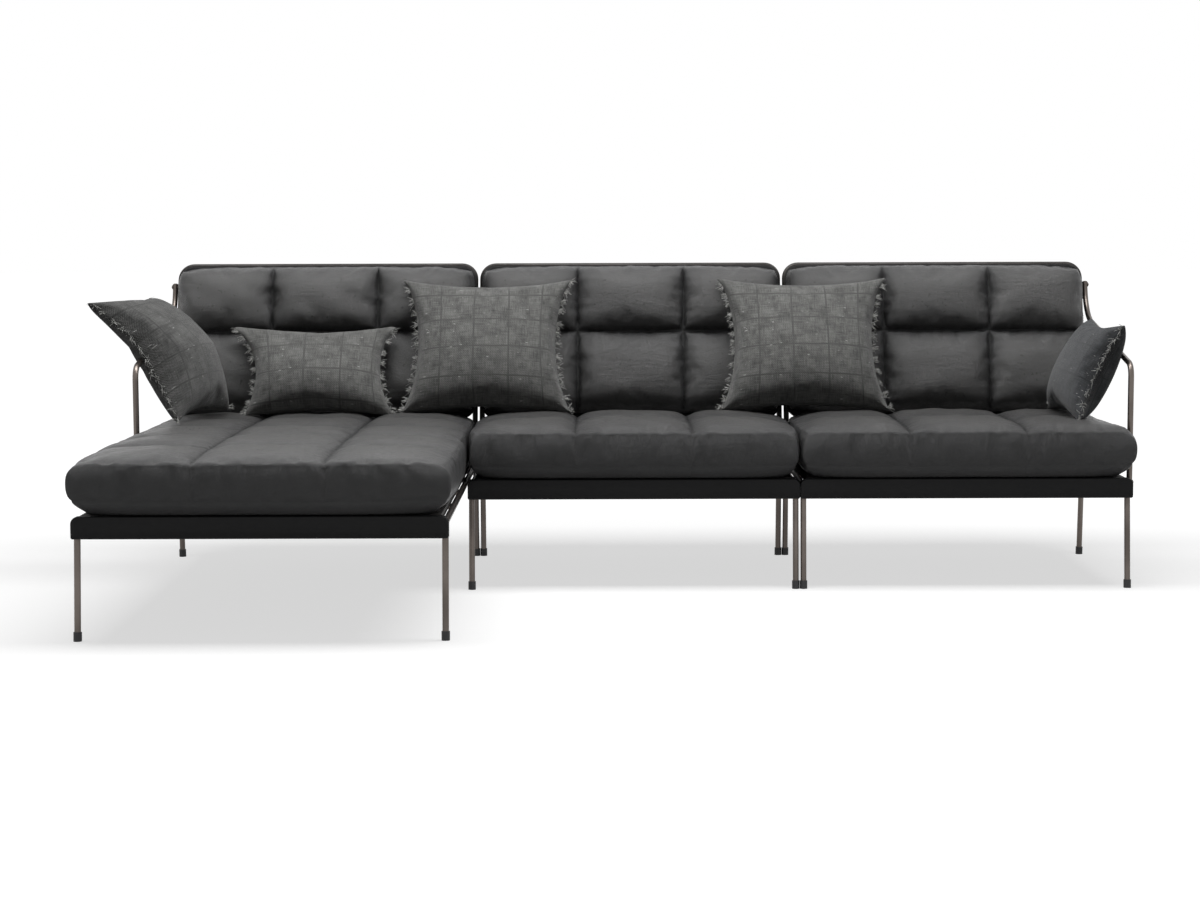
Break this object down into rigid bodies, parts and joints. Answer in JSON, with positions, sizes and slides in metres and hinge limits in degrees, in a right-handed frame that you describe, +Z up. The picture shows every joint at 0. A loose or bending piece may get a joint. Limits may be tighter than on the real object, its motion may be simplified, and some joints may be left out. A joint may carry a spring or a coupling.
{
  "type": "modular chaise sofa",
  "caption": "Modular sofa with a chaise: quilted leather cushions on slender bent metal rod frames, tube arms and loose woven throw pillows.",
  "frame": {"origin": "on the floor under the middle of the overall box", "axes": "+X along the sofa's width, with the chaise at -X; the front faces -Y; +Z up"},
  "size_m": [2.8343, 1.564, 0.87],
  "materials": {
    "rod": "satin, warm grey nickel",
    "cap": "matt",
    "cushion_leather": "semi-aniline, fine grain",
    "rail_leather": "smooth, semi-matt",
    "board": "black stained plywood",
    "strap": "woven elastic webbing",
    "pillow_cloth": "coarse woven wool with frayed side edges"
  },
  "bodies": {
    "sofa_frame": {"chaise_left_frame": "rod", "chaise_right_frame": "rod", "chaise_cross_bars": "rod", "chaise_back_hoop": "rod", "chaise_foot_caps": "cap", "chaise_front_rail": "rail_leather", "chaise_rear_rail": "rail_leather", "chaise_platform": "board", "chaise_webbing": "strap", "chaise_back_panel": "rail_leather", "chaise_back_cushion": "cushion_leather", "middle_left_frame": "rod", "middle_right_frame": "rod", "middle_cross_bars": "rod", "middle_back_hoop": "rod", "middle_foot_caps": "cap", "middle_front_rail": "rail_leather", "middle_rear_rail": "rail_leather", "middle_platform": "board", "middle_webbing": "strap", "middle_back_panel": "rail_leather", "middle_back_cushion": "cushion_leather", "right_left_frame": "rod", "right_right_frame": "rod", "right_cross_bars": "rod", "right_back_hoop": "rod", "right_foot_caps": "cap", "right_front_rail": "rail_leather", "right_rear_rail": "rail_leather", "right_platform": "board", "right_webbing": "strap", "right_back_panel": "rail_leather", "right_back_cushion": "cushion_leather", "back_cross_bars": "rod", "joining_clips": "cap", "left_arm": "rod", "right_arm": "rod", "arm_bolts": "rod"},
    "chaise_seat": {"chaise_seat_cushion": "cushion_leather"},
    "middle_seat": {"middle_seat_cushion": "cushion_leather"},
    "right_seat": {"right_seat_cushion": "cushion_leather"},
    "left_arm_pillow_body": {"left_arm_pillow": "pillow_cloth"},
    "lumbar_pillow_body": {"lumbar_pillow": "pillow_cloth"},
    "left_square_pillow_body": {"left_square_pillow": "pillow_cloth"},
    "right_square_pillow_body": {"right_square_pillow": "pillow_cloth"},
    "right_arm_pillow_body": {"right_arm_pillow": "pillow_cloth"}
  },
  "joints": [
    {"name": "chaise_seat_slide", "type": "slide", "parent": "sofa_frame", "child": "chaise_seat", "axis": [0, -1, 0], "range_m": [0, 0.15]},
    {"name": "middle_seat_slide", "type": "slide", "parent": "sofa_frame", "child": "middle_seat", "axis": [0, -1, 0], "range_m": [0, 0.15]},
    {"name": "right_seat_slide", "type": "slide", "parent": "sofa_frame", "child": "right_seat", "axis": [0, -1, 0], "range_m": [0, 0.15]},
    {"name": "left_arm_pillow_lift", "type": "slide", "parent": "chaise_seat", "child": "left_arm_pillow_body", "axis": [0, -0.3011, 0.9536], "range_m": [0, 0.18]},
    {"name": "lumbar_pillow_lift", "type": "slide", "parent": "chaise_seat", "child": "lumbar_pillow_body", "axis": [0, -0.3401, 0.9404], "range_m": [0, 0.18]},
    {"name": "left_square_pillow_lift", "type": "slide", "parent": "sofa_frame", "child": "left_square_pillow_body", "axis": [0, -0.3401, 0.9404], "range_m": [0, 0.18]},
    {"name": "right_square_pillow_lift", "type": "slide", "parent": "sofa_frame", "child": "right_square_pillow_body", "axis": [0, -0.3401, 0.9404], "range_m": [0, 0.18]},
    {"name": "right_arm_pillow_lift", "type": "slide", "parent": "right_seat", "child": "right_arm_pillow_body", "axis": [-0.398, -0.199, 0.8955], "range_m": [0, 0.18]}
  ]
}
